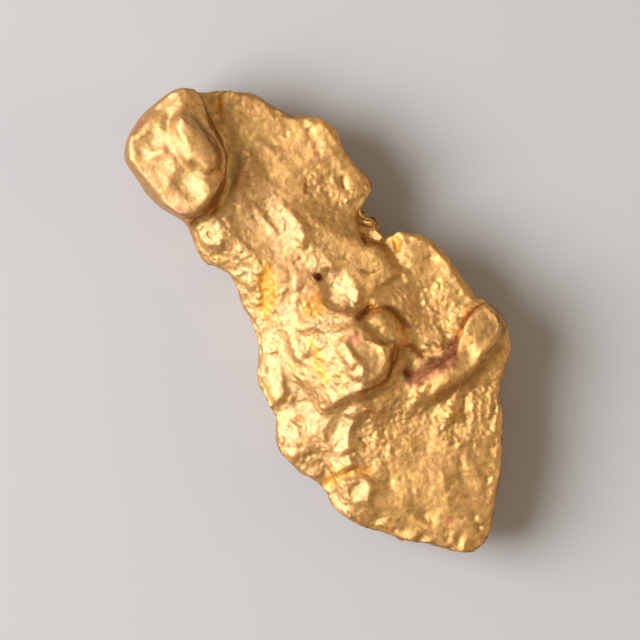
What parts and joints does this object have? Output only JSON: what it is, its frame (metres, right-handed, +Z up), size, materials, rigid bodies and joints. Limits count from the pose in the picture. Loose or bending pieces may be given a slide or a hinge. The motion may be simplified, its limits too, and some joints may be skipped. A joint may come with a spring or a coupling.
{
  "type": "gold nugget",
  "caption": "Water-worn native gold nugget: a folded, pitted slab with a round knob at one end, a bump and a bent finger ridge on top and a pointed tip; it lies on its flattest side.",
  "frame": {"origin": "under the middle of the nugget, on the plane that it rests on", "axes": "+X along the length, from the round knob to the pointed tip; +Y across it, towards the side with the notch and the finger ridge; +Z up, out of the side with the relief"},
  "size_m": [0.0222, 0.0106, 0.0054],
  "materials": {
    "native_gold": "satin water-worn native gold, pitted, with red-brown and amber iron stain in its hollows"
  },
  "bodies": {
    "root": {"nugget": "native_gold"}
  },
  "joints": []
}
